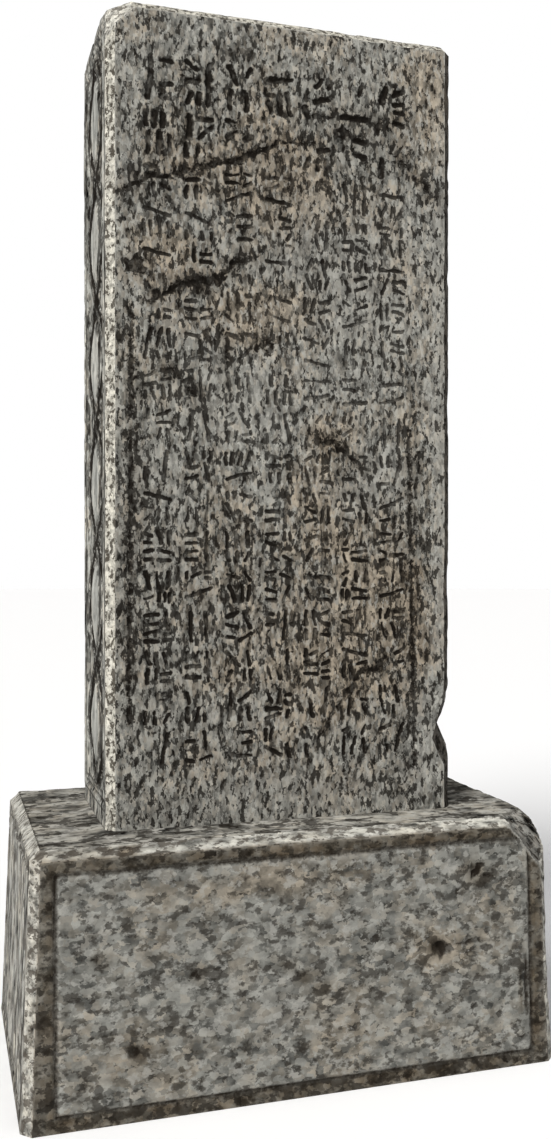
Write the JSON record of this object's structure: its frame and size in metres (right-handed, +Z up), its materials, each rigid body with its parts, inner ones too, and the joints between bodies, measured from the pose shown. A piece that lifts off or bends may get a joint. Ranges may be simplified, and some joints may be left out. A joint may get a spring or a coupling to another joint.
{
  "type": "stone tablet",
  "caption": "Upright slab of weathered granite with worn rows of shallow strokes, a plaited side panel and a tapered base block it stands on.",
  "frame": {"origin": "middle of the base block's underside", "axes": "+Z up, the inscribed front faces -Y, +X to the right of someone reading it"},
  "size_m": [1.101, 0.64, 2.1623],
  "materials": {
    "tablet_granite": "weathered grey and beige granite with dark grains, dirt in the cuts and pale worn edges",
    "base_granite": "weathered grey granite, browner round its border groove, with tooled streaks on its ledge and sides"
  },
  "bodies": {
    "root": {"inscribed_tablet": "tablet_granite", "base_block": "base_granite"}
  },
  "joints": []
}
